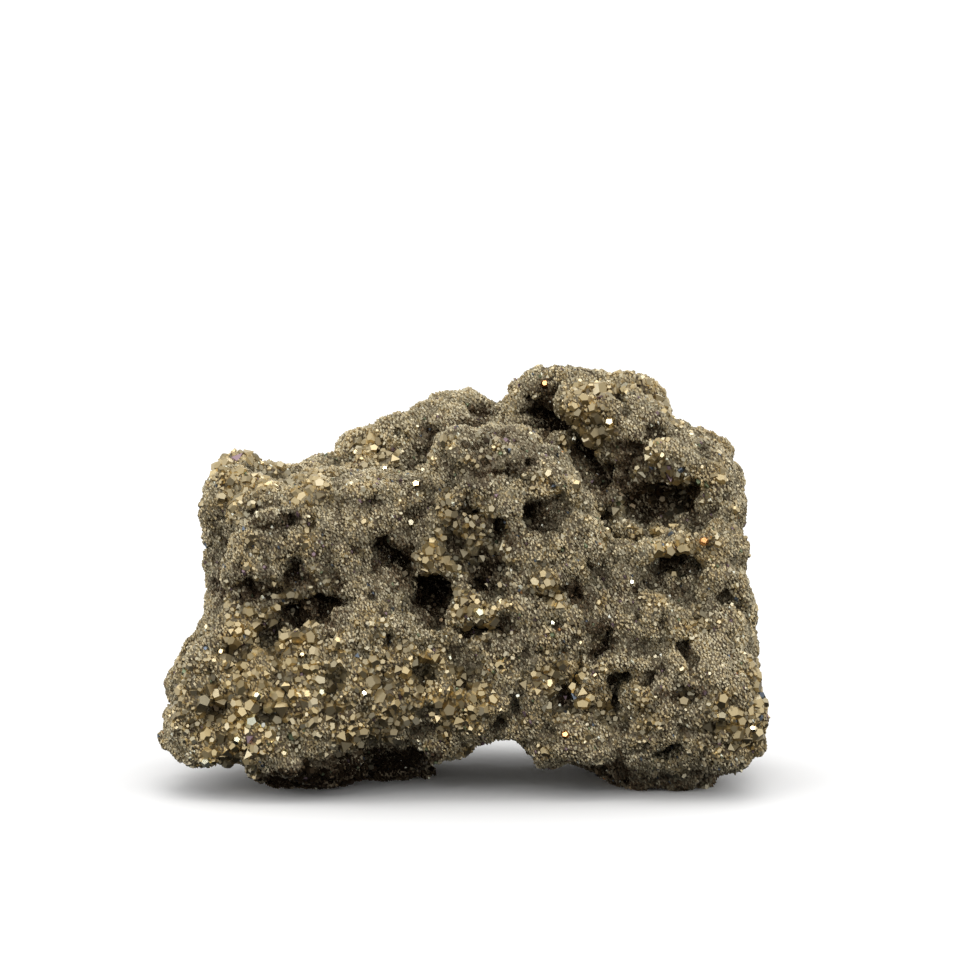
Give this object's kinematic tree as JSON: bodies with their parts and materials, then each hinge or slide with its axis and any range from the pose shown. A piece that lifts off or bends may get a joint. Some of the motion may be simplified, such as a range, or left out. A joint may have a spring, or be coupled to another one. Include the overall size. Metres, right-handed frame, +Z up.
{
  "type": "pyrite specimen",
  "caption": "Hand-sized lump of granular pyrite with crystal-lined pockets and an arched underside, resting on low feet.",
  "frame": {"origin": "middle of the ground rectangle that the specimen covers, on the surface it rests on", "axes": "+X along the longest side, to the right as the specimen is shown; +Y to its back; +Z up"},
  "size_m": [0.0692, 0.043, 0.0469],
  "materials": {
    "pyrite": "granular metallic pyrite, pale brass to grey-olive, thousands of small flat crystal faces that glitter, darker brown in the pockets"
  },
  "bodies": {
    "root": {"pyrite_mass": "pyrite"}
  },
  "joints": []
}
